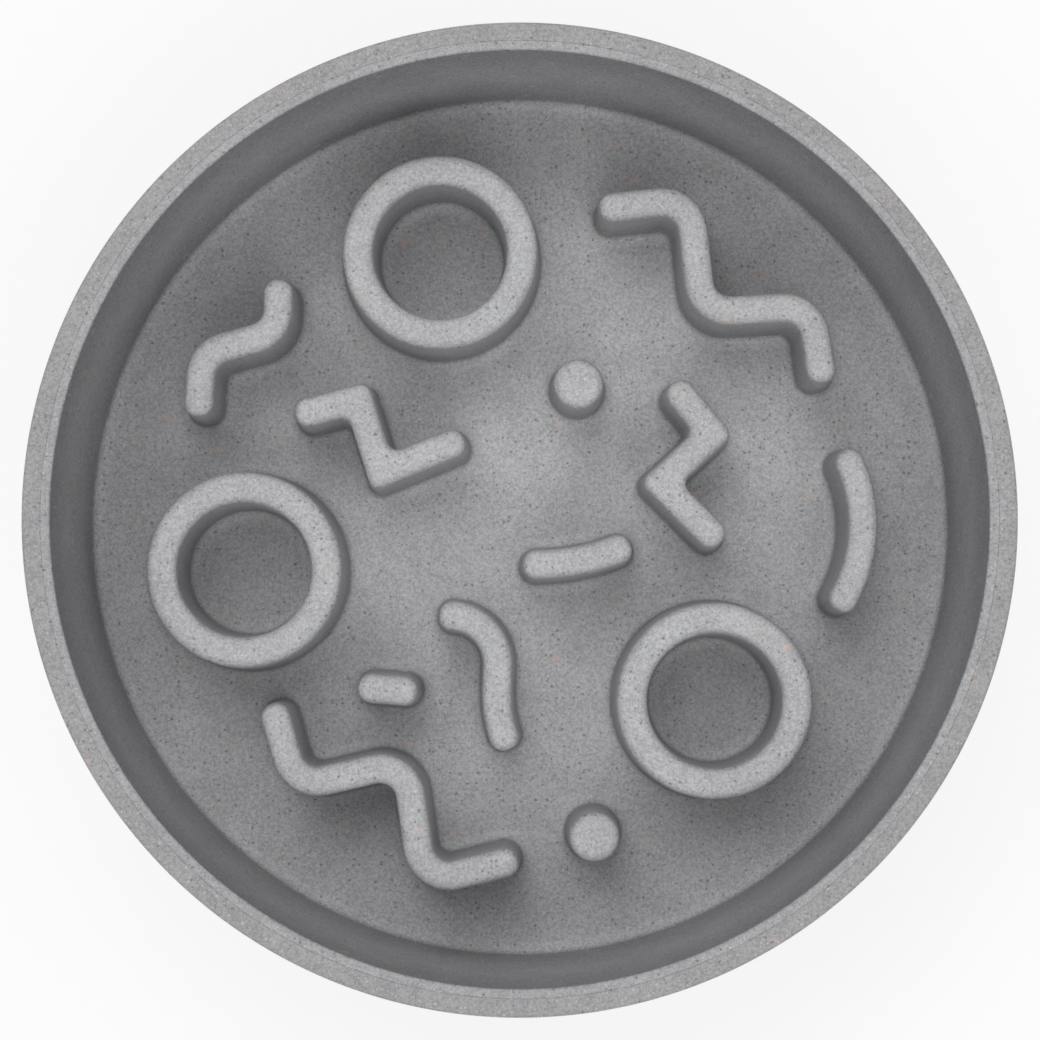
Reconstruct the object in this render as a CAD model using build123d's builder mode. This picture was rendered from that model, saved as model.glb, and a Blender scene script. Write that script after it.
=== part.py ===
from build123d import *
import os
from math import radians, tan

# Slow feeder bowl: a drafted outer shell, a feeding tray with a moulded maze that drops into the shell,
# and soft pads under the base. Millimetres, +Z up, origin on the ground under the middle of the bowl.

# Bowl
bowl_diameter = 210.0
bowl_height = 50.0
wall_draft = 2.6  # degrees, both walls lean out by this much towards the rim

# Outer shell
shell_wall = 2.4
shell_base = 3.0
rim_band = 4.0  # width of the rim outside the seam
rim_band_depth = 6.5  # height of the thick band under the rim
rim_fall = 0.4  # drop of the band from the seam to its outer edge
rim_edge_break = 0.7
base_edge_round = 5.0
corner_cut_share = 0.293  # how deep a round corner's middle lies, as a share of its radius

# Feeding tray
tray_wall = 2.0
tray_floor = 2.4
floor_round = 2.0
seam_gap = 0.15  # between the tray's lip and the shell's band

# Maze ridges on the tray's floor
ridge_height = 22.0
ridge_width = 6.3  # across the top
ridge_draft = 2.0  # degrees
ridge_end_round = 2.2  # upright corners at the ends, at the top
corner_round = 2.6  # upright corners of the zigzags
squiggle_bend = 6.8
sweep_share = 0.98  # how much of its runs the bend of a swept ridge takes up
top_break = 0.9

# Rings and pegs of the maze
ring_radius = 21.3  # outside, across the top
cup_radius = 14.7  # inside, across the top
peg_radius = 5.4

# Foot pads
pad_length = 26.0
pad_width = 10.0
pad_corner_cut = 2.5
pad_thickness = 2.4
pad_proud = 1.2  # how far a pad stands out under the base
pad_inset = 6.0  # from the edge of the flat base to a pad
pad_gap = 0.15
pad_start_angle = 45  # degrees, to the first of the pads
pad_corners = ("back_right", "back_left", "front_left", "front_right")

# Places of the maze figures on the floor, as shares of the floor's radius
ring_shares = [(-0.180, 0.607), (-0.620, -0.110), (0.437, -0.404)]
peg_shares = [(0.132, 0.309), (0.167, -0.708)]

# Centre-lines of the ridges, from end to end, as shares of the floor's radius
long_squiggle_shares = [(0.180, 0.706), (0.384, 0.729), (0.412, 0.471), (0.658, 0.485), (0.683, 0.312)]
low_squiggle_shares = [
    (-0.556, -0.412), (-0.502, -0.598), (-0.255, -0.540), (-0.217, -0.812), (-0.005, -0.759),
]
short_squiggle_shares = [(-0.545, 0.546), (-0.546, 0.425), (-0.717, 0.380), (-0.725, 0.236)]
left_zigzag_shares = [(-0.505, 0.238), (-0.364, 0.275), (-0.312, 0.109), (-0.125, 0.185)]
right_zigzag_shares = [(0.344, 0.309), (0.436, 0.197), (0.316, 0.086), (0.451, -0.050)]
side_arc_shares = [(0.731, 0.159), (0.811, -0.026), (0.713, -0.200)]
hook_shares = [(-0.181, -0.211), (-0.045, -0.221), (-0.053, -0.430), (-0.026, -0.513)]
long_bar_shares = [(0.007, -0.098), (0.132, -0.097), (0.249, -0.053)]
short_bar_shares = [(-0.363, -0.373), (-0.230, -0.384)]

# Levels
base_bottom = pad_proud
base_top = base_bottom + shell_base
floor_top = base_top + tray_floor
ridge_top = floor_top + ridge_height

# Radii at the rim and where the leaning walls meet the levels
rim_radius = bowl_diameter / 2
band_radius = rim_radius - rim_band
tray_radius = band_radius - seam_gap
mouth_radius = tray_radius - tray_wall


def leaned(radius, level):
    """Radius that a wall has at a level, from its radius at the rim."""
    return radius - (bowl_height - level) * tan(radians(wall_draft))


def leaned_by(radius, rise):
    """Radius that a wall has higher up, from its radius lower down."""
    return radius + rise * tan(radians(wall_draft))


def turned_corner(radius, level, size):
    """Points of a rounded corner of a turned section, from the flat up to the wall, in two facets."""
    back = size * corner_cut_share
    return [(radius - size, level), (radius - back, level + back), (leaned_by(radius, size), level + size)]


def cut_corner(radius, level, size):
    """Points of a plainly cut corner of a turned section, from the flat up to the wall."""
    return [(radius - size, level), (leaned_by(radius, size), level + size)]


floor_radius = leaned(mouth_radius, floor_top)
base_flat_radius = leaned(rim_radius, base_bottom) - base_edge_round
pad_circle_radius = base_flat_radius - pad_inset - pad_width / 2

ridge_lean = ridge_height * tan(radians(ridge_draft))
ridge_half = ridge_width / 2

# Each ridge: its centre-line, and whether its corners are bent, mitred or swept as far as its runs go
ridges = [
    (long_squiggle_shares, "bent"),
    (low_squiggle_shares, "bent"),
    (short_squiggle_shares, "bent"),
    (left_zigzag_shares, "mitred"),
    (right_zigzag_shares, "mitred"),
    (side_arc_shares, "swept"),
    (hook_shares, "swept"),
    (long_bar_shares, "swept"),
    (short_bar_shares, "swept"),
]


def on_floor(shares):
    """Places on the floor, in millimetres, from shares of its radius."""
    return [Vector(x, y) * floor_radius for x, y in shares]


def ridge_outline(shares, style, half_width, reach, end_round):
    """Corner points of a ridge's outline, up its left side and back down its right side.

    The centre-line is set out by half_width to both sides and lengthened by reach at both ends.
    Returns the points of the closed outline and the rounding radius at each of them.
    """
    spine = on_floor(shares)
    runs = [after - before for before, after in zip(spine, spine[1:])]
    ways = [run.normalized() for run in runs]
    sides = [Vector(-way.Y, way.X) for way in ways]
    spine[0] -= ways[0] * reach
    spine[-1] += ways[-1] * reach
    left = [spine[0] + sides[0] * half_width]
    right = [spine[0] - sides[0] * half_width]
    left_radii = [end_round]
    right_radii = [end_round]
    for i, corner in enumerate(spine[1:-1]):
        mitre = (sides[i] + sides[i + 1]) * (half_width / (1 + sides[i].dot(sides[i + 1])))
        left.append(corner + mitre)
        right.append(corner - mitre)
        turn = sides[i].get_signed_angle(sides[i + 1], Vector(0, 0, 1))
        bend = squiggle_bend
        if style == "swept":
            free_run = min(runs[i].length, runs[i + 1].length) - ridge_end_round
            bend = sweep_share * free_run / tan(radians(abs(turn) / 2))
        inside, outside = bend - half_width, bend + half_width
        if style == "mitred":
            inside = outside = corner_round
        left_radii.append(inside if turn > 0 else outside)
        right_radii.append(outside if turn > 0 else inside)
    left.append(spine[-1] + sides[-1] * half_width)
    right.append(spine[-1] - sides[-1] * half_width)
    left_radii.append(end_round)
    right_radii.append(end_round)
    return left + right[::-1], left_radii + right_radii[::-1]


# Outer shell: one turned section with the rim band, the wall and the base
with BuildPart() as outer_shell:
    rim_edge_level = bowl_height - rim_fall - rim_edge_break
    ledge_level = bowl_height - rim_band_depth
    wall_level = ledge_level - (rim_band - shell_wall)
    shell_inside = rim_radius - shell_wall
    with BuildSketch(Plane.XZ):
        with BuildLine():
            Polyline(
                (0, base_bottom),
                *turned_corner(leaned(rim_radius, base_bottom), base_bottom, base_edge_round),
                (leaned(rim_radius, rim_edge_level), rim_edge_level),
                (rim_radius - rim_edge_break, bowl_height - rim_fall),
                (band_radius, bowl_height),
                (leaned(band_radius, ledge_level), ledge_level),
                (leaned(shell_inside, wall_level), wall_level),
                *cut_corner(leaned(shell_inside, base_top), base_top, base_edge_round - shell_wall)[::-1],
                (0, base_top),
                close=True,
            )
        make_face()
    revolve(axis=Axis.Z)
    # Recesses for the foot pads
    with BuildSketch(Plane.XY.offset(base_bottom)) as recesses:
        with PolarLocations(pad_circle_radius, len(pad_corners), start_angle=pad_start_angle):
            Rectangle(pad_width + 2 * pad_gap, pad_length + 2 * pad_gap)
        chamfer(recesses.vertices(), pad_corner_cut)
    extrude(amount=pad_thickness - pad_proud, mode=Mode.SUBTRACT)

# Ridges of the maze, each lofted from its foot on the floor to its narrower top
ridge_solids = []
for shares, style in ridges:
    with BuildPart() as ridge:
        for level, lean in [(floor_top, ridge_lean), (ridge_top, 0)]:
            points, radii = ridge_outline(shares, style, ridge_half + lean, lean, ridge_end_round + lean)
            with BuildSketch(Plane.XY.offset(level)):
                with BuildLine():
                    FilletPolyline(*points, radius=radii, close=True)
                make_face()
        loft(ruled=True)
    ridge_solids.append(ridge.part)

# Feeding tray: a turned dish with the maze moulded into its floor
with BuildPart() as feeding_tray:
    with BuildSketch(Plane.XZ):
        with BuildLine():
            Polyline(
                (0, base_top),
                *cut_corner(leaned(tray_radius, base_top), base_top, floor_round + tray_wall),
                (tray_radius, bowl_height),
                (mouth_radius, bowl_height),
                *turned_corner(floor_radius, floor_top, floor_round)[::-1],
                (0, floor_top),
                close=True,
            )
        make_face()
    revolve(axis=Axis.Z)
    add(ridge_solids)
    # Rings round their cups, and pegs
    with BuildSketch(Plane.XY.offset(floor_top)):
        with Locations(*on_floor(ring_shares)):
            Circle(ring_radius)
            Circle(cup_radius, mode=Mode.SUBTRACT)
        with Locations(*on_floor(peg_shares)):
            Circle(peg_radius)
    extrude(amount=ridge_height)
    # Softened top edges of the whole maze
    chamfer(feeding_tray.edges().filter_by_position(Axis.Z, ridge_top, ridge_top), top_break)

# Foot pads: soft oblong pads in the recesses of the base
pads = []
for i, corner in enumerate(pad_corners):
    with BuildPart() as pad:
        with BuildSketch(Plane.XY.rotated((0, 0, pad_start_angle + i * 360 / len(pad_corners)))) as outline:
            with Locations((pad_circle_radius, 0)):
                Rectangle(pad_width, pad_length)
            chamfer(outline.vertices(), pad_corner_cut)
        extrude(amount=pad_thickness)
    pads.append((f"foot_pad_{corner}", pad))

os.makedirs("parts", exist_ok=True)
for node, piece in [("outer_shell", outer_shell), ("feeding_tray", feeding_tray)] + pads:
    piece.part.label = node
    export_step(piece.part, f"parts/{node}.step")
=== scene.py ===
"""Looks of the slow feeder bowl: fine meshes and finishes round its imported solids, in metres with +Z up."""

import logging
import math
from dataclasses import dataclass, field
from enum import Enum
from typing import Any, Iterable, Sequence

import bmesh
import bpy
from mathutils import Matrix, Vector
from mathutils.geometry import delaunay_2d_cdt


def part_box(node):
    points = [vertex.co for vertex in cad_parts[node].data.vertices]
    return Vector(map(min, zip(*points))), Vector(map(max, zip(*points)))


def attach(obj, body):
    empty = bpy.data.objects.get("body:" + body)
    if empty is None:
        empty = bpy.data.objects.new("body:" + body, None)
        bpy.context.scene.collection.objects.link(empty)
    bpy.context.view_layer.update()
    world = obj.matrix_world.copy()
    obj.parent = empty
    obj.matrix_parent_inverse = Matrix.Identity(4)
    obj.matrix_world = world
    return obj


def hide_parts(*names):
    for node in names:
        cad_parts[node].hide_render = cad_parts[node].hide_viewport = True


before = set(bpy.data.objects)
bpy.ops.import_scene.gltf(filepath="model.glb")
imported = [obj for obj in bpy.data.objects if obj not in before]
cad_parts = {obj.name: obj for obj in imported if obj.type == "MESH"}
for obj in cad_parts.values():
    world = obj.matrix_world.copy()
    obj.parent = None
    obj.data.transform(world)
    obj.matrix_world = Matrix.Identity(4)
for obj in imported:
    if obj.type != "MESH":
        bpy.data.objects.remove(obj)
log = logging.getLogger("slow_feeder_bowl")

Color = tuple[float, float, float]
Loop = list[int]
Path = list[Vector]

BODY = "root"

BLACK: Color = (0.0, 0.0, 0.0)
WHITE: Color = (1.0, 1.0, 1.0)

# A straight run longer than this many support distances gets points near its ends
LONG_RUN = 6.0

# Triangulation: keep what lies inside the outlines, and take closer points for one
INSIDE_ONLY = 1
SAME_PLACE = 1e-7


def rounded_path(corners: Sequence[Vector], radii: Sequence[float], steps: int, closed: bool) -> Path:
    """Round the corners of a flat path with arcs.

    Args:
        corners: The path's corner points.
        radii: Rounding radius at each corner, or zero for a sharp one.
        steps: Facets of each arc.
        closed: Whether the last corner joins up with the first.

    Returns:
        The points of the rounded path.
    """
    path: Path = []
    count = len(corners)
    for i, (corner, radius) in enumerate(zip(corners, radii)):
        if radius <= 0 or (not closed and i in (0, count - 1)):
            path.append(corner.copy())
            continue
        before = (corners[i - 1] - corner).normalized()
        after = (corners[(i + 1) % count] - corner).normalized()
        half = before.angle(after) / 2
        centre = corner + (before + after).normalized() * (radius / math.sin(half))
        first = corner + before * (radius / math.tan(half)) - centre
        last = corner + after * (radius / math.tan(half)) - centre
        sweep = -first.angle_signed(last)
        for k in range(steps + 1):
            path.append(centre + Matrix.Rotation(sweep * k / steps, 2) @ first)
    return path


def supported(path: Path, support: float) -> Path:
    """Add points near both ends of each long straight run, so that smooth shading stays flat between them.

    Args:
        path: The points of an open path.
        support: Distance of the added points from the run's ends.

    Returns:
        The path with the added points.
    """
    result = [path[0]]
    for before, after in zip(path, path[1:]):
        run = after - before
        if run.length > LONG_RUN * support:
            inset = run.normalized() * support
            result += [before + inset, after - inset]
        result.append(after)
    return result


def circle(centre: Vector, radius: float, count: int) -> Path:
    """Points of a circle.

    Args:
        centre: Its middle, seen from above.
        radius: Its radius.
        count: How many points it gets.

    Returns:
        The points, anticlockwise.
    """
    turns = [math.tau * i / count for i in range(count)]
    return [centre + Vector((math.cos(turn), math.sin(turn))) * radius for turn in turns]


class MeshMaker:
    """Gathers the points and faces of one moulded piece."""

    def __init__(self) -> None:
        """Start with no points and no faces."""
        self.points: list[Vector] = []
        self.faces: list[tuple[int, ...]] = []

    def loop(self, outline: Iterable[Vector], height: float) -> Loop:
        """Add a level loop of points.

        Args:
            outline: The points seen from above.
            height: Their level.

        Returns:
            The numbers of the added points.
        """
        first = len(self.points)
        self.points += [Vector((point.x, point.y, height)) for point in outline]
        return list(range(first, len(self.points)))

    def bridge(self, low: Loop, high: Loop) -> None:
        """Join two loops of as many points with a band of faces.

        Args:
            low: The first loop.
            high: The second loop.
        """
        for i in range(len(low)):
            j = (i + 1) % len(low)
            self.faces.append((low[i], low[j], high[j], high[i]))

    def stack(self, loops: Sequence[Loop]) -> None:
        """Join each loop with the next one."""
        for low, high in zip(loops, loops[1:]):
            self.bridge(low, high)

    def sheet(self, border: Loop, holes: Sequence[Loop] = ()) -> None:
        """Close a level border with triangles.

        Args:
            border: The loop round the sheet.
            holes: Loops inside it that stay open.
        """
        numbers = [number for loop in (border, *holes) for number in loop]
        places = {number: i for i, number in enumerate(numbers)}
        flat = [self.points[number].to_2d() for number in numbers]
        outlines = [[places[number] for number in loop] for loop in (border, *holes)]
        cut = delaunay_2d_cdt(flat, [], outlines, INSIDE_ONLY, SAME_PLACE)
        _, _, triangles, origins, _, owners = cut
        for triangle, owner in zip(triangles, owners):
            if owner == [0]:
                self.faces.append(tuple(numbers[origins[corner][0]] for corner in triangle))

    def finish(self, name: str, sharp_angle: float) -> bpy.types.Object:
        """Make the piece's object.

        Args:
            name: The object's name.
            sharp_angle: Angle in radians above which an edge is shaded as sharp.

        Returns:
            The object, linked to the scene.
        """
        mesh = bpy.data.meshes.new(name)
        mesh.from_pydata(self.points, [], self.faces)
        work = bmesh.new()
        work.from_mesh(mesh)
        bmesh.ops.recalc_face_normals(work, faces=work.faces)
        work.to_mesh(mesh)
        work.free()
        mesh.shade_smooth()
        mesh.set_sharp_from_angle(angle=sharp_angle)
        piece = bpy.data.objects.new(name, mesh)
        bpy.context.scene.collection.objects.link(piece)
        return piece


class Value:
    """A shader value that takes part in Python expressions."""

    def __init__(self, graph: "Graph", socket: bpy.types.NodeSocket | None) -> None:
        """Wrap an output socket of a graph, or none for a node that ends it."""
        self.graph = graph
        self.socket = socket

    def _math(self, operation: str, first: Any, second: Any) -> "Value":
        """Add one Math node and return its value."""
        return self.graph.node("ShaderNodeMath", {"operation": operation}, {0: first, 1: second})

    def __add__(self, other: Any) -> "Value":
        """Return self + other."""
        return self._math("ADD", self, other)

    def __radd__(self, other: Any) -> "Value":
        """Return other + self."""
        return self._math("ADD", other, self)

    def __sub__(self, other: Any) -> "Value":
        """Return self - other."""
        return self._math("SUBTRACT", self, other)

    def __rsub__(self, other: Any) -> "Value":
        """Return other - self."""
        return self._math("SUBTRACT", other, self)

    def __mul__(self, other: Any) -> "Value":
        """Return self * other."""
        return self._math("MULTIPLY", self, other)

    def __rmul__(self, other: Any) -> "Value":
        """Return other * self."""
        return self._math("MULTIPLY", other, self)

    def __lt__(self, other: Any) -> "Value":
        """Return 1 where self is below other, and 0 elsewhere."""
        return self._math("LESS_THAN", self, other)

    def sibling(self, output: str) -> "Value":
        """Return another output of the same node."""
        return Value(self.graph, self.socket.node.outputs[output])

    def ramp(self, low: Any, high: Any) -> "Value":
        """Return a smooth step from 0 at low to 1 at high, where low may be the larger."""
        settings = {"interpolation_type": "SMOOTHSTEP"}
        return self.graph.node("ShaderNodeMapRange", settings, {0: self, 1: low, 2: high})


class Graph:
    """The node tree of one finish or of the sky, with one way to add any node."""

    # Sockets of a Mix node that mixes colours
    MIX_FACTOR, MIX_FIRST, MIX_SECOND, MIX_RESULT = 0, 6, 7, 2

    # Radius of the smallest fleck, and of a fleck's solid core, as shares of the largest and of the whole one
    SMALLEST_FLECK = 0.35
    FLECK_CORE = 0.4

    def __init__(self, owner: bpy.types.Material | bpy.types.World) -> None:
        """Start with an empty tree.

        Args:
            owner: The material or the world that the tree belongs to.
        """
        owner.use_nodes = True
        self.tree = owner.node_tree
        self.tree.nodes.clear()

    def node(self, kind: str, settings: dict[str, Any], inputs: dict[Any, Any], output: Any = 0) -> Value:
        """Add a node.

        Args:
            kind: The node's type.
            settings: Its properties, which are set first.
            inputs: Values or links by socket.
            output: The output socket that is wanted.

        Returns:
            The wanted output as a value.
        """
        node = self.tree.nodes.new(kind)
        for key, value in settings.items():
            setattr(node, key, value)
        for key, value in inputs.items():
            if isinstance(value, Value):
                self.tree.links.new(value.socket, node.inputs[key])
            else:
                node.inputs[key].default_value = value
        return Value(self, node.outputs[output] if node.outputs else None)

    def places(self) -> Value:
        """Return the place on the piece, in its own metres."""
        return self.node("ShaderNodeTexCoord", {}, {}, "Object")

    def noise(self, places: Value, grain: float, detail: float) -> Value:
        """Return soft noise.

        Args:
            places: Where it is read.
            grain: Size of its grains in metres.
            detail: How many finer layers it has.

        Returns:
            A value from 0 to 1, near 0.5 on average.
        """
        return self.node("ShaderNodeTexNoise", {}, {"Vector": places, "Scale": 1 / grain, "Detail": detail})

    def mix(self, factor: Any, first: Any, second: Any) -> Value:
        """Return a colour between two others.

        Args:
            factor: Share of the second colour.
            first: The colour at 0.
            second: The colour at 1.

        Returns:
            The mixed colour.
        """
        colors = [value if isinstance(value, Value) else (*value, 1.0) for value in (first, second)]
        inputs = {self.MIX_FACTOR: factor, self.MIX_FIRST: colors[0], self.MIX_SECOND: colors[1]}
        return self.node("ShaderNodeMix", {"data_type": "RGBA"}, inputs, self.MIX_RESULT)

    def ragged(self, places: Value, grain: float, push: float) -> Value:
        """Push places about, so that what is read there has ragged edges.

        Args:
            places: The places.
            grain: Size of the ragged forms in metres.
            push: How far the places move.

        Returns:
            The moved places.
        """
        ways = self.noise(places, grain, detail=1.0).sibling("Color")
        inputs = {0: ways, 1: (push, push, push), 2: places}
        return self.node("ShaderNodeVectorMath", {"operation": "MULTIPLY_ADD"}, inputs)

    def flecks(self, places: Value, spacing: float, size: float, share: Any) -> Value:
        """Scatter flecks of many sizes.

        Args:
            places: Where they are read. Stretched places give stretched flecks, and ragged ones ragged flecks.
            spacing: Distance between possible flecks.
            size: Radius of the largest fleck.
            share: Share of the possible flecks that is there.

        Returns:
            A mask, 1 on the flecks.
        """
        inputs = {"Vector": places, "Scale": 1 / spacing}
        cells = self.node("ShaderNodeTexVoronoi", {}, inputs, "Distance")
        draw = self.node("ShaderNodeSeparateColor", {}, {0: cells.sibling("Color")})
        spread = 1 - self.SMALLEST_FLECK
        reach = (self.SMALLEST_FLECK + spread * draw.sibling("Green")) * (size / spacing)
        return cells.ramp(reach, self.FLECK_CORE * reach) * (draw < share)

    def shows_backdrop(self) -> Value:
        """Tell rays that show the backdrop from those that light the bowl.

        Returns:
            1 for rays that see it straight, in a mirror or through glass, and 0 for others.
        """
        camera = self.node("ShaderNodeLightPath", {}, {}, "Is Camera Ray")
        others = camera.sibling("Is Glossy Ray") + camera.sibling("Is Transmission Ray")
        return (camera + others).ramp(0.0, 1.0)

    def close(self, inputs: dict[str, Any]) -> None:
        """Add the surface shader, with the values or links of its sockets, and the output."""
        surface = self.node("ShaderNodeBsdfPrincipled", {}, inputs)
        self.node("ShaderNodeOutputMaterial", {}, {"Surface": surface})


@dataclass(frozen=True)
class Layer:
    """One layer of noise in a finish, with the noise values between which it rises, and its share in the whole."""

    size: float
    detail: float
    low: float
    high: float
    share: float

    def noise(self, graph: Graph, places: Value) -> Value:
        """Return the layer's bare noise."""
        return graph.noise(places, self.size, self.detail)

    def weight(self, noise: Value) -> Value:
        """Return what the layer's noise adds, from 0 to the layer's share."""
        return noise.ramp(self.low, self.high) * self.share


@dataclass(frozen=True)
class Fleck:
    """One kind of fleck in a plastic, with the radius of the largest, how many there are and how strong they look."""

    color: Color
    spacing: float
    size: float
    share: float
    strength: float

    def mask(self, graph: Graph, places: Value, thinning: Any = 1.0) -> Value:
        """Return 1 on the flecks, where thinning may lower their share from place to place."""
        return graph.flecks(places, self.spacing, self.size, thinning * self.share)

    def tint(self, graph: Graph, mask: Value, color: Value) -> Value:
        """Return a colour with the flecks on it."""
        return graph.mix(mask * self.strength, color, self.color)


@dataclass(frozen=True)
class FibrePlastic:
    """Pale plastic with a filling of plant fibre: mottled grain, ragged specks, pale bits and sparse warm fibres,
    with optional painted shade on upright faces.
    """

    name: str
    pale: Color
    shade: Color
    # Painted shade: upright faces darken by a share, and by more deep down towards the floor; lip_share darkens the
    # upper wall and the lip
    upright_painted_shade: float = 0.0
    upright_facing: tuple[float, float] = (0.8, 0.2)
    deep_painted_shade: float = 0.0
    deep_levels: tuple[float, float] = (0.032, 0.008)
    lip_share: float = 0.0
    lip_levels: tuple[float, float] = (0.030, 0.049)
    clouds: Layer = Layer(size=0.009, detail=2.0, low=0.35, high=0.65, share=0.2)
    grain: Layer = Layer(size=0.0008, detail=4.0, low=0.36, high=0.64, share=0.45)
    fine: Layer = Layer(size=0.0004, detail=1.0, low=0.34, high=0.66, share=0.35)
    mottle: Layer = Layer(size=0.003, detail=2.0, low=0.5, high=0.8, share=0.35)
    warm: Color = (0.47, 0.43, 0.41)
    ragged_size: float = 0.0005
    ragged_push: float = 0.0006
    bits: Fleck = Fleck((0.70, 0.70, 0.71), spacing=0.0008, size=0.00034, share=0.4, strength=0.45)
    dust: Fleck = Fleck((0.13, 0.13, 0.14), spacing=0.0006, size=0.00024, share=0.6, strength=0.5)
    rust: Fleck = Fleck((0.66, 0.47, 0.38), spacing=0.0016, size=0.00040, share=0.35, strength=0.5)
    rust_clouds: tuple[float, float] = (0.7, 0.4)
    specks: Fleck = Fleck((0.13, 0.13, 0.14), spacing=0.0012, size=0.00050, share=0.8, strength=0.65)
    speck_clouds: tuple[float, float] = (0.2, 0.8)
    fibres: Fleck = Fleck((0.66, 0.47, 0.38), spacing=0.0030, size=0.0010, share=0.07, strength=0.45)
    fibre_stretch: float = 2.5
    fibre_turns: tuple[float, ...] = (0.5, 2.1)
    grain_relief: float = 0.6
    speck_relief: float = 0.5
    relief_strength: float = 0.25
    relief_depth: float = 0.00006
    least_roughness: float = 0.44
    roughness_spread: float = 0.16
    specular: float = 0.35

    def painted_shade_and_lip(self, graph: Graph, places: Value, color: Value) -> Value:
        """Paint shade on the upright faces, more of it deep down, and darken the lip, where the settings ask for it.

        Args:
            graph: The finish's nodes.
            places: The places on the piece.
            color: The colour before.

        Returns:
            The colour after.
        """
        facing = graph.node("ShaderNodeSeparateXYZ", {}, {0: places.sibling("Normal")}, "Z")
        height = graph.node("ShaderNodeSeparateXYZ", {}, {0: places}, "Z")
        # Painted shade on upright faces, growing towards the floor, plus a darker band up to the lip
        deep = height.ramp(*self.deep_levels) * self.deep_painted_shade
        upright = facing.ramp(*self.upright_facing) * (deep + self.upright_painted_shade)
        lip = height.ramp(*self.lip_levels) * self.lip_share
        return graph.mix(upright + lip, color, BLACK)

    def fibred(self, graph: Graph, places: Value, color: Value) -> Value:
        """Lay the stretched fibres over a colour, one set for each direction.

        Args:
            graph: The finish's nodes.
            places: The places on the piece.
            color: The colour before.

        Returns:
            The colour after.
        """
        for turn in self.fibre_turns:
            layout = {
                "Vector": places,
                "Rotation": (0.0, 0.0, turn),
                "Scale": (self.fibre_stretch, 1.0, 1.0),
            }
            stretched = graph.node("ShaderNodeMapping", {"vector_type": "TEXTURE"}, layout)
            color = self.fibres.tint(graph, self.fibres.mask(graph, stretched), color)
        return color

    def material(self) -> bpy.types.Material:
        """Make the finish's material.

        Returns:
            The material.
        """
        material = bpy.data.materials.new(self.name)
        graph = Graph(material)
        places = graph.places()
        clouds, grain = self.clouds.noise(graph, places), self.grain.noise(graph, places)
        fine, mottle = self.fine.noise(graph, places), self.mottle.noise(graph, places)
        tone = self.clouds.weight(clouds) + self.grain.weight(grain) + self.fine.weight(fine)
        color = graph.mix(tone, self.shade, self.pale)
        color = graph.mix(self.mottle.weight(mottle), color, self.warm)
        # Painted shade on upright faces and deep down, and a darker lip
        color = self.painted_shade_and_lip(graph, places, color)
        ragged = graph.ragged(places, self.ragged_size, self.ragged_push)
        rust = self.rust.mask(graph, ragged, clouds.ramp(*self.rust_clouds))
        color = self.rust.tint(graph, rust, color)
        color = self.bits.tint(graph, self.bits.mask(graph, ragged), color)
        color = self.dust.tint(graph, self.dust.mask(graph, ragged), color)
        specks = self.specks.mask(graph, ragged, clouds.ramp(*self.speck_clouds))
        color = self.specks.tint(graph, specks, color)
        color = self.fibred(graph, places, color)
        relief = {
            "Height": grain * self.grain_relief - specks * self.speck_relief,
            "Strength": self.relief_strength,
            "Distance": self.relief_depth,
        }
        graph.close(
            {
                "Base Color": color,
                "Roughness": self.least_roughness + grain * self.roughness_spread,
                "Specular IOR Level": self.specular,
                "Normal": graph.node("ShaderNodeBump", {}, relief),
            }
        )
        return material


@dataclass(frozen=True)
class PadRubber:
    """Soft dark rubber with a dull, dusty face."""

    name: str
    dark: Color = (0.055, 0.056, 0.060)
    dusty: Color = (0.105, 0.105, 0.108)
    patches: Layer = Layer(size=0.006, detail=2.0, low=0.3, high=0.7, share=0.6)
    grain: Layer = Layer(size=0.0005, detail=3.0, low=0.3, high=0.7, share=0.4)
    relief_strength: float = 0.4
    relief_depth: float = 0.00008
    least_roughness: float = 0.72
    roughness_spread: float = 0.2
    specular: float = 0.3

    def material(self) -> bpy.types.Material:
        """Make the finish's material.

        Returns:
            The material.
        """
        material = bpy.data.materials.new(self.name)
        graph = Graph(material)
        places = graph.places()
        patches, grain = self.patches.noise(graph, places), self.grain.noise(graph, places)
        tone = self.patches.weight(patches) + self.grain.weight(grain)
        relief = {"Height": grain, "Strength": self.relief_strength, "Distance": self.relief_depth}
        graph.close(
            {
                "Base Color": graph.mix(tone, self.dark, self.dusty),
                "Roughness": self.least_roughness + patches * self.roughness_spread,
                "Specular IOR Level": self.specular,
                "Normal": graph.node("ShaderNodeBump", {}, relief),
            }
        )
        return material


class Bend(Enum):
    """How a ridge goes round the corners of its centre-line."""

    ROUND = "round bends of one radius"
    CREASED = "tight corners"
    SWEPT = "one sweep that takes up the whole run"


@dataclass(frozen=True)
class Ridge:
    """One ridge of the maze, with its centre-line in shares of the floor's radius."""

    bend: Bend
    centre_line_shares: tuple[tuple[float, float], ...]


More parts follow.
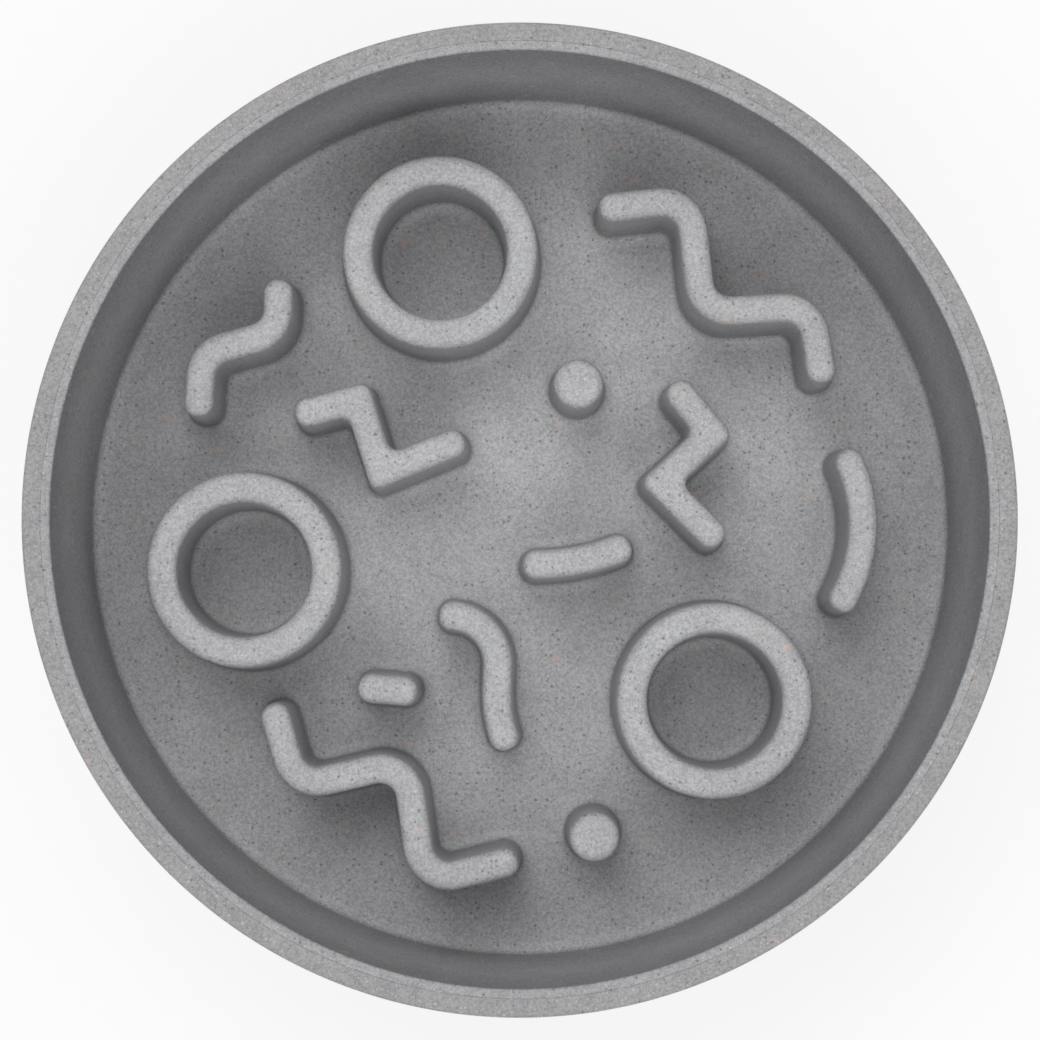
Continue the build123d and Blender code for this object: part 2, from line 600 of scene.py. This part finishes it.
LONG_SQUIGGLE = Ridge(
    Bend.ROUND, ((0.180, 0.706), (0.384, 0.729), (0.412, 0.471), (0.658, 0.485), (0.683, 0.312))
)
LOW_SQUIGGLE = Ridge(
    Bend.ROUND, ((-0.556, -0.412), (-0.502, -0.598), (-0.255, -0.540), (-0.217, -0.812), (-0.005, -0.759))
)
SHORT_SQUIGGLE = Ridge(Bend.ROUND, ((-0.545, 0.546), (-0.546, 0.425), (-0.717, 0.380), (-0.725, 0.236)))
LEFT_ZIGZAG = Ridge(Bend.CREASED, ((-0.505, 0.238), (-0.364, 0.275), (-0.312, 0.109), (-0.125, 0.185)))
RIGHT_ZIGZAG = Ridge(Bend.CREASED, ((0.344, 0.309), (0.436, 0.197), (0.316, 0.086), (0.451, -0.050)))
SIDE_ARC = Ridge(Bend.SWEPT, ((0.731, 0.159), (0.811, -0.026), (0.713, -0.200)))
HOOK = Ridge(Bend.SWEPT, ((-0.181, -0.211), (-0.045, -0.221), (-0.053, -0.430), (-0.026, -0.513)))
LONG_BAR = Ridge(Bend.SWEPT, ((0.007, -0.098), (0.132, -0.097), (0.249, -0.053)))
SHORT_BAR = Ridge(Bend.SWEPT, ((-0.363, -0.373), (-0.230, -0.384)))


@dataclass
class Dish:
    """Sizes that the shell and the tray share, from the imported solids."""

    wall_draft: float = math.radians(2.6)
    segments: int = 288
    support: float = 0.0002
    sharp_angle: float = math.radians(40)
    rim_radius: float = field(init=False)
    tray_radius: float = field(init=False)
    rim_top: float = field(init=False)
    base_bottom: float = field(init=False)
    base_top: float = field(init=False)

    def __post_init__(self) -> None:
        """Read the levels and radii of the solids."""
        shell_low, shell_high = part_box("outer_shell")
        tray_low, tray_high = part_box("feeding_tray")
        self.rim_radius = (shell_high.x - shell_low.x) / 2
        self.tray_radius = (tray_high.x - tray_low.x) / 2
        self.rim_top = shell_high.z
        self.base_bottom = shell_low.z
        self.base_top = tray_low.z

    def leaned(self, radius: float, level: float) -> float:
        """Return the radius that a wall has at a level, from its radius at the rim."""
        return radius - (self.rim_top - level) * math.tan(self.wall_draft)

    def turn(self, maker: MeshMaker, section: Path) -> list[Loop]:
        """Turn a section round the bowl's axis.

        Args:
            maker: The piece that it is added to.
            section: Radius and level of each point.

        Returns:
            The loops of the turned points.
        """
        middle = Vector((0.0, 0.0))
        loops = [maker.loop(circle(middle, point.x, self.segments), point.y) for point in section]
        maker.stack(loops)
        return loops


@dataclass
class FootPads:
    """Four soft oblong pads under the base."""

    corners: tuple[str, ...] = ("back_right", "back_left", "front_left", "front_right")
    length: float = 0.026
    width: float = 0.010
    corner_cut: float = 0.0025
    corner_round: float = 0.0012
    least_corner_round: float = 0.0003
    edge_round: float = 0.0006
    gap: float = 0.00015
    arc_steps: int = 5

    def outline(self, corner: str, grow: float) -> Path:
        """Outline of one pad.

        Args:
            corner: The corner of the base that it is at.
            grow: How far the outline is set out.

        Returns:
            The points, anticlockwise from above.
        """
        low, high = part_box(f"foot_pad_{corner}")
        middle = ((low + high) / 2).to_2d()
        across, along = self.width / 2 + grow, self.length / 2 + grow
        cut = self.corner_cut + grow * (2 - math.sqrt(2))
        right = [Vector((across, -along + cut)), Vector((across, along - cut))]
        back = [Vector((across - cut, along)), Vector((-across + cut, along))]
        corners = right + back + [-point for point in right + back]
        turn = Matrix.Rotation(math.atan2(middle.y, middle.x), 2)
        rounds = [max(self.corner_round + grow, self.least_corner_round)] * len(corners)
        return [middle + turn @ point for point in rounded_path(corners, rounds, self.arc_steps, True)]

    def build(self, dish: Dish) -> dict[str, bpy.types.Object]:
        """Make the pads.

        Args:
            dish: The sizes that they share with the bowl.

        Returns:
            The pads by the names of the solids that they stand for.
        """
        pads = {}
        for corner in self.corners:
            node = f"foot_pad_{corner}"
            low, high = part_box(node)
            maker = MeshMaker()
            inset = self.edge_round + dish.support
            corners = [(-inset, low.z), (0.0, low.z), (0.0, high.z), (-inset, high.z)]
            rounds = [0, self.edge_round, 0, 0]
            section = rounded_path([Vector(point) for point in corners], rounds, self.arc_steps, False)
            loops = [maker.loop(self.outline(corner, point.x), point.y) for point in section]
            maker.stack(loops)
            maker.sheet(loops[0])
            maker.sheet(loops[-1])
            pads[node] = maker.finish(f"pad_{corner}", dish.sharp_angle)
        return pads


@dataclass
class OuterShell:
    """The turned outer shell with its rim band and the recesses for the pads."""

    wall: float = 0.0024
    rim_band: float = 0.0040
    band_depth: float = 0.0065
    rim_fall: float = 0.0004
    rim_edge_round: float = 0.0009
    seam_gap: float = 0.00002
    seam_round: float = 0.00008
    base_edge_round: float = 0.005
    base_inner_round: float = 0.0026
    arc_steps: int = 8

    def section(self, dish: Dish) -> Path:
        """Lay out the shell's section, from the flat of the base round the rim to the flat inside.

        Args:
            dish: The sizes that the shell shares with the tray.

        Returns:
            Radius and level of each point.
        """
        band_radius = dish.tray_radius + self.seam_gap
        ledge = dish.rim_top - self.band_depth
        wall_level = ledge - (self.rim_band - self.wall)
        inside = dish.rim_radius - self.wall
        foot = dish.leaned(dish.rim_radius, dish.base_bottom)
        inner_foot = dish.leaned(inside, dish.base_top)
        corners = [
            ((foot - self.base_edge_round - 2 * dish.support, dish.base_bottom), 0),
            ((foot, dish.base_bottom), self.base_edge_round),
            ((dish.rim_radius, dish.rim_top - self.rim_fall), self.rim_edge_round),
            ((band_radius, dish.rim_top), self.seam_round),
            ((dish.leaned(band_radius, ledge), ledge), 0),
            ((dish.leaned(inside, wall_level), wall_level), 0),
            ((inner_foot, dish.base_top), self.base_inner_round),
            ((inner_foot - self.base_edge_round, dish.base_top), 0),
        ]
        points = [Vector(point) for point, _ in corners]
        radii = [radius for _, radius in corners]
        return supported(rounded_path(points, radii, self.arc_steps, False), dish.support)

    def build(self, dish: Dish, pads: FootPads) -> bpy.types.Object:
        """Make the shell.

        Args:
            dish: The sizes that it shares with the tray.
            pads: The pads that its recesses hold.

        Returns:
            The shell's object.
        """
        maker = MeshMaker()
        loops = dish.turn(maker, self.section(dish))
        recesses = []
        for corner in pads.corners:
            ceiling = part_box(f"foot_pad_{corner}")[1].z
            outline = pads.outline(corner, pads.gap)
            walls = [maker.loop(outline, level) for level in (dish.base_bottom, ceiling)]
            maker.stack(walls)
            maker.sheet(walls[-1])
            recesses.append(walls[0])
        maker.sheet(loops[0], recesses)
        maker.sheet(loops[-1])
        return maker.finish("shell", dish.sharp_angle)


@dataclass
class FeedingTray:
    """The tray that drops into the shell, with the maze moulded into its floor."""

    wall: float = 0.0020
    floor: float = 0.0024
    foot_inset: float = 0.0010
    floor_round: float = 0.0030
    lip_round: float = 0.0006
    seam_round: float = 0.00008
    underside_round: float = 0.004
    ridge_height: float = 0.022
    ridge_width: float = 0.0063
    ridge_draft: float = math.radians(2.0)
    ridge_end_round: float = 0.0029
    crease_round: float = 0.0024
    squiggle_bend: float = 0.0068
    sweep_share: float = 0.98
    top_round: float = 0.0022
    foot_round: float = 0.0030
    least_round: float = 0.0002
    ring_radius: float = 0.0213
    cup_radius: float = 0.0147
    peg_radius: float = 0.0054
    arc_steps: int = 8
    bend_steps: int = 10
    ring_segments: int = 128
    peg_segments: int = 64
    ring_shares: tuple[tuple[float, float], ...] = ((-0.180, 0.607), (-0.620, -0.110), (0.437, -0.404))
    peg_shares: tuple[tuple[float, float], ...] = ((0.132, 0.309), (0.167, -0.708))
    ridges: tuple[Ridge, ...] = (
        LONG_SQUIGGLE,
        LOW_SQUIGGLE,
        SHORT_SQUIGGLE,
        LEFT_ZIGZAG,
        RIGHT_ZIGZAG,
        SIDE_ARC,
        HOOK,
        LONG_BAR,
        SHORT_BAR,
    )

    def floor_top(self, dish: Dish) -> float:
        """Return the level of the floor that the food lies on."""
        return dish.base_top + self.floor

    def floor_radius(self, dish: Dish) -> float:
        """Return the radius where floor and wall would meet without their rounding."""
        return dish.leaned(dish.tray_radius - self.wall, self.floor_top(dish))

    def on_floor(self, dish: Dish, shares: Sequence[tuple[float, float]]) -> Path:
        """Return places on the floor from shares of its radius."""
        return [Vector(share) * self.floor_radius(dish) for share in shares]

    def side(self, dish: Dish) -> Path:
        """Section of a ridge's side, from the floor over the rounded edge to the flat top.

        Args:
            dish: The sizes that the tray shares with the shell.

        Returns:
            How far each point stands out from the top's nominal edge, and its level.
        """
        floor = self.floor_top(dish)
        top = floor + self.ridge_height
        lean = self.ridge_height * math.tan(self.ridge_draft)
        points = [
            Vector((lean + self.foot_round + dish.support, floor)),
            Vector((lean, floor)),
            Vector((0.0, top)),
            Vector((-self.top_round - dish.support, top)),
        ]
        rounds = [0, self.foot_round, self.top_round, 0]
        return supported(rounded_path(points, rounds, self.arc_steps, False), dish.support)

    def outline(self, dish: Dish, ridge: Ridge, out: float) -> Path:
        """Outline of a ridge at one point of its side.

        Args:
            dish: The sizes that the tray shares with the shell.
            ridge: The ridge.
            out: How far the outline stands out from the top's nominal edge.

        Returns:
            The points, up the ridge's left side and back down its right side.
        """
        spine = self.on_floor(dish, ridge.centre_line_shares)
        runs = [after - before for before, after in zip(spine, spine[1:])]
        ways = [run.normalized() for run in runs]
        sides = [Vector((-way.y, way.x)) for way in ways]
        half = self.ridge_width / 2
        end = max(self.ridge_end_round + out, self.least_round)
        start, stop = spine[0] - ways[0] * out, spine[-1] + ways[-1] * out
        left, right = [start + sides[0] * (half + out)], [start - sides[0] * (half + out)]
        left_rounds, right_rounds = [end], [end]
        for i, corner in enumerate(spine[1:-1]):
            mitre = (sides[i] + sides[i + 1]) * ((half + out) / (1 + sides[i].dot(sides[i + 1])))
            turn = -ways[i].angle_signed(ways[i + 1])
            bend = self.squiggle_bend
            if ridge.bend is Bend.SWEPT:
                free_run = min(runs[i].length, runs[i + 1].length) - self.ridge_end_round
                bend = self.sweep_share * free_run / math.tan(abs(turn) / 2)
            inner, outer = bend - half, bend + half
            if ridge.bend is Bend.CREASED:
                inner = outer = self.crease_round
            inner, outer = max(inner - out, self.least_round), max(outer + out, self.least_round)
            left.append(corner + mitre)
            right.append(corner - mitre)
            left_rounds.append(inner if turn > 0 else outer)
            right_rounds.append(outer if turn > 0 else inner)
        left.append(stop + sides[-1] * (half + out))
        right.append(stop - sides[-1] * (half + out))
        corners, rounds = right + left[::-1], right_rounds + [end, end] + left_rounds[::-1]
        return rounded_path(corners, rounds, self.bend_steps, True)

    def raise_ridge(self, maker: MeshMaker, dish: Dish, ridge: Ridge) -> Loop:
        """Add a ridge to the tray.

        Args:
            maker: The tray's mesh.
            dish: The sizes that the tray shares with the shell.
            ridge: The ridge.

        Returns:
            The loop round its foot.
        """
        loops = [maker.loop(self.outline(dish, ridge, point.x), point.y) for point in self.side(dish)]
        maker.stack(loops)
        maker.sheet(loops[-1])
        return loops[0]

    def raise_round(self, maker: MeshMaker, dish: Dish, spot: Vector, radius: float, count: int) -> list[Loop]:
        """Add the round outside of a ring or a peg to the tray.

        Args:
            maker: The tray's mesh.
            dish: The sizes that the tray shares with the shell.
            spot: Its middle.
            radius: Its radius across the top.
            count: Points of each loop.

        Returns:
            The loops from its foot to its top.
        """
        loops = [maker.loop(circle(spot, radius + point.x, count), point.y) for point in self.side(dish)]
        maker.stack(loops)
        return loops

    def raise_ring(self, maker: MeshMaker, dish: Dish, spot: Vector) -> Loop:
        """Add a ring with its cup to the tray.

        Args:
            maker: The tray's mesh.
            dish: The sizes that the tray shares with the shell.
            spot: The ring's middle.

        Returns:
            The loop round its foot.
        """
        outside = self.raise_round(maker, dish, spot, self.ring_radius, self.ring_segments)
        cup = [
            maker.loop(circle(spot, self.cup_radius - point.x, self.ring_segments), point.y)
            for point in self.side(dish)
        ]
        maker.stack(cup)
        maker.bridge(outside[-1], cup[-1])
        maker.sheet(cup[0])
        return outside[0]

    def section(self, dish: Dish) -> Path:
        """Lay out the dish's section, from the floor up the wall, over the lip and down to the underside.

        Args:
            dish: The sizes that the tray shares with the shell.

        Returns:
            Radius and level of each point.
        """
        floor, mouth = self.floor_top(dish), dish.tray_radius - self.wall
        inner_foot = self.floor_radius(dish) - self.foot_inset
        foot = dish.leaned(dish.tray_radius, dish.base_top)
        corners = [
            ((inner_foot - self.floor_round - 2 * dish.support, floor), 0),
            ((inner_foot, floor), self.floor_round),
            ((mouth, dish.rim_top), self.lip_round),
            ((dish.tray_radius, dish.rim_top), self.seam_round),
            ((foot, dish.base_top), self.underside_round),
            ((foot - 2 * self.underside_round, dish.base_top), 0),
        ]
        points = [Vector(point) for point, _ in corners]
        radii = [radius for _, radius in corners]
        return supported(rounded_path(points, radii, self.arc_steps, False), dish.support)

    def build(self, dish: Dish) -> bpy.types.Object:
        """Make the tray.

        Args:
            dish: The sizes that it shares with the shell.

        Returns:
            The tray's object.
        """
        maker = MeshMaker()
        loops = dish.turn(maker, self.section(dish))
        feet = [self.raise_ridge(maker, dish, ridge) for ridge in self.ridges]
        feet += [self.raise_ring(maker, dish, spot) for spot in self.on_floor(dish, self.ring_shares)]
        for spot in self.on_floor(dish, self.peg_shares):
            peg = self.raise_round(maker, dish, spot, self.peg_radius, self.peg_segments)
            maker.sheet(peg[-1])
            feet.append(peg[0])
        maker.sheet(loops[0], feet)
        maker.sheet(loops[-1])
        return maker.finish("tray", dish.sharp_angle)


@dataclass(frozen=True)
class SkyPatch:
    """A round soft patch of the sky, in degrees anticlockwise from the right and up from the horizon."""

    azimuth: float
    elevation: float
    core: float
    reach: float
    strength: float

    def glow(self, graph: Graph, way: Value) -> Value:
        """Light of the patch, full inside its core and gone beyond its reach.

        Args:
            graph: The sky's nodes.
            way: The direction that is looked at.

        Returns:
            The light in that direction.
        """
        turn, rise = math.radians(self.azimuth), math.radians(self.elevation)
        axis = (math.cos(turn) * math.cos(rise), math.sin(turn) * math.cos(rise), math.sin(rise))
        settings, inputs = {"operation": "DOT_PRODUCT"}, {0: way, 1: axis}
        nearness = graph.node("ShaderNodeVectorMath", settings, inputs, "Value")
        edge, middle = math.cos(math.radians(self.reach)), math.cos(math.radians(self.core))
        return nearness.ramp(edge, middle) * self.strength


@dataclass
class Studio:
    """Pale ground, soft light from all round above and the camera over the bowl."""

    image_pixels: float = 1040.0
    focal_pixels: float = 2949.0
    sensor: float = 36.0
    camera_place: tuple[float, float, float] = (0.0012, -0.0280, 0.6693)
    camera_aim: tuple[float, float] = (0.0001, -0.0008)
    ground_size: float = 6.0
    ground_level: float = -0.0001
    ground_color: Color = (0.90, 0.90, 0.90)
    ground_shade: Color = (0.882, 0.882, 0.882)
    ground_grain: float = 0.004
    ground_white_share: float = 0.80
    band_strength: float = 1.2
    band_low: tuple[float, float] = (0.35, 0.62)
    band_high: tuple[float, float] = (0.76, 0.92)
    key: SkyPatch = SkyPatch(azimuth=108.0, elevation=58.0, core=12.0, reach=26.0, strength=2.4)
    fill: SkyPatch = SkyPatch(azimuth=-82.0, elevation=47.0, core=4.0, reach=42.0, strength=1.02)

    def place_camera(self, rim_top: float) -> None:
        """Put the camera over the bowl, with the picture's upper edge to the back.

        Args:
            rim_top: The level that it is aimed at.
        """
        data = bpy.data.cameras.new("camera")
        data.sensor_width = self.sensor
        data.lens = self.sensor * self.focal_pixels / self.image_pixels
        data.clip_end = 2 * self.ground_size
        camera = bpy.data.objects.new("camera", data)
        place = Vector(self.camera_place)
        ahead = (Vector((*self.camera_aim, rim_top)) - place).normalized()
        right = ahead.cross(Vector((0.0, 1.0, 0.0))).normalized()
        axes = Matrix((right, right.cross(ahead), -ahead)).transposed()
        camera.matrix_world = Matrix.Translation(place) @ axes.to_4x4()
        bpy.context.scene.collection.objects.link(camera)
        bpy.context.scene.camera = camera

    def lay_ground(self) -> None:
        """Lay the pale ground, which keeps the bowl's shadow and looks close to white from the camera."""
        maker = MeshMaker()
        half = self.ground_size / 2
        corners = [Vector((x, y)) for x, y in ((-half, -half), (half, -half), (half, half), (-half, half))]
        maker.sheet(maker.loop(corners, self.ground_level))
        ground = maker.finish("ground", math.pi)
        material = bpy.data.materials.new("ground_paper")
        graph = Graph(material)
        fibres = graph.noise(graph.places(), self.ground_grain, detail=3.0)
        tone = graph.mix(fibres, self.ground_color, self.ground_shade)
        paper = graph.node("ShaderNodeBsdfDiffuse", {}, {"Color": tone})
        white = graph.node("ShaderNodeEmission", {}, {"Strength": 1.0})
        share = graph.shows_backdrop() * self.ground_white_share
        both = graph.node("ShaderNodeMixShader", {}, {0: share, 1: paper, 2: white})
        graph.node("ShaderNodeOutputMaterial", {}, {"Surface": both})
        ground.data.materials.append(material)

    def light(self) -> None:
        """Light the bowl with a band of sky half way up and two soft patches, and show the sky as white."""
        world = bpy.data.worlds.new("sky")
        bpy.context.scene.world = world
        graph = Graph(world)
        way = graph.node("ShaderNodeTexCoord", {}, {}, "Generated")
        height = graph.node("ShaderNodeSeparateXYZ", {}, {0: way}, "Z")
        band = height.ramp(*self.band_low) * (1 - height.ramp(*self.band_high))
        glow = band * self.band_strength + self.key.glow(graph, way) + self.fill.glow(graph, way)
        seen = graph.shows_backdrop()
        strength = glow * (1 - seen) + seen
        sky = graph.node("ShaderNodeBackground", {}, {"Color": (*WHITE, 1.0), "Strength": strength})
        graph.node("ShaderNodeOutputWorld", {}, {"Surface": sky})


def dress(piece: bpy.types.Object, material: bpy.types.Material, node: str) -> None:
    """Give a piece its finish and its place in the frame.

    Args:
        piece: The finished object.
        material: Its finish.
        node: The solid that it stands for.
    """
    piece.data.materials.append(material)
    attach(piece, BODY)
    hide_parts(node)
    log.info("%s stands for %s, %d faces", piece.name, node, len(piece.data.polygons))


def main() -> None:
    """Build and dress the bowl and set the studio."""
    logging.basicConfig(level=logging.INFO)
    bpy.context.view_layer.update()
    bpy.context.scene.view_settings.view_transform = "Standard"
    dish = Dish()
    pads = FootPads()
    shell_finish = FibrePlastic("shell_fibre_plastic", pale=(0.420, 0.418, 0.422), shade=(0.268, 0.267, 0.273))
    tray_finish = FibrePlastic(
        "tray_fibre_plastic",
        pale=(0.540, 0.542, 0.557),
        shade=(0.340, 0.341, 0.355),
        # Painted shade on the tray's upright faces, more deep down, and a darker upper wall and lip
        upright_painted_shade=0.22,
        deep_painted_shade=0.25,
        lip_share=0.16,
    )
    dress(OuterShell().build(dish, pads), shell_finish.material(), "outer_shell")
    dress(FeedingTray().build(dish), tray_finish.material(), "feeding_tray")
    rubber = PadRubber("pad_rubber").material()
    for node, pad in pads.build(dish).items():
        dress(pad, rubber, node)
    studio = Studio()
    studio.place_camera(dish.rim_top)
    studio.lay_ground()
    studio.light()


if __name__ == "__main__":
    main()
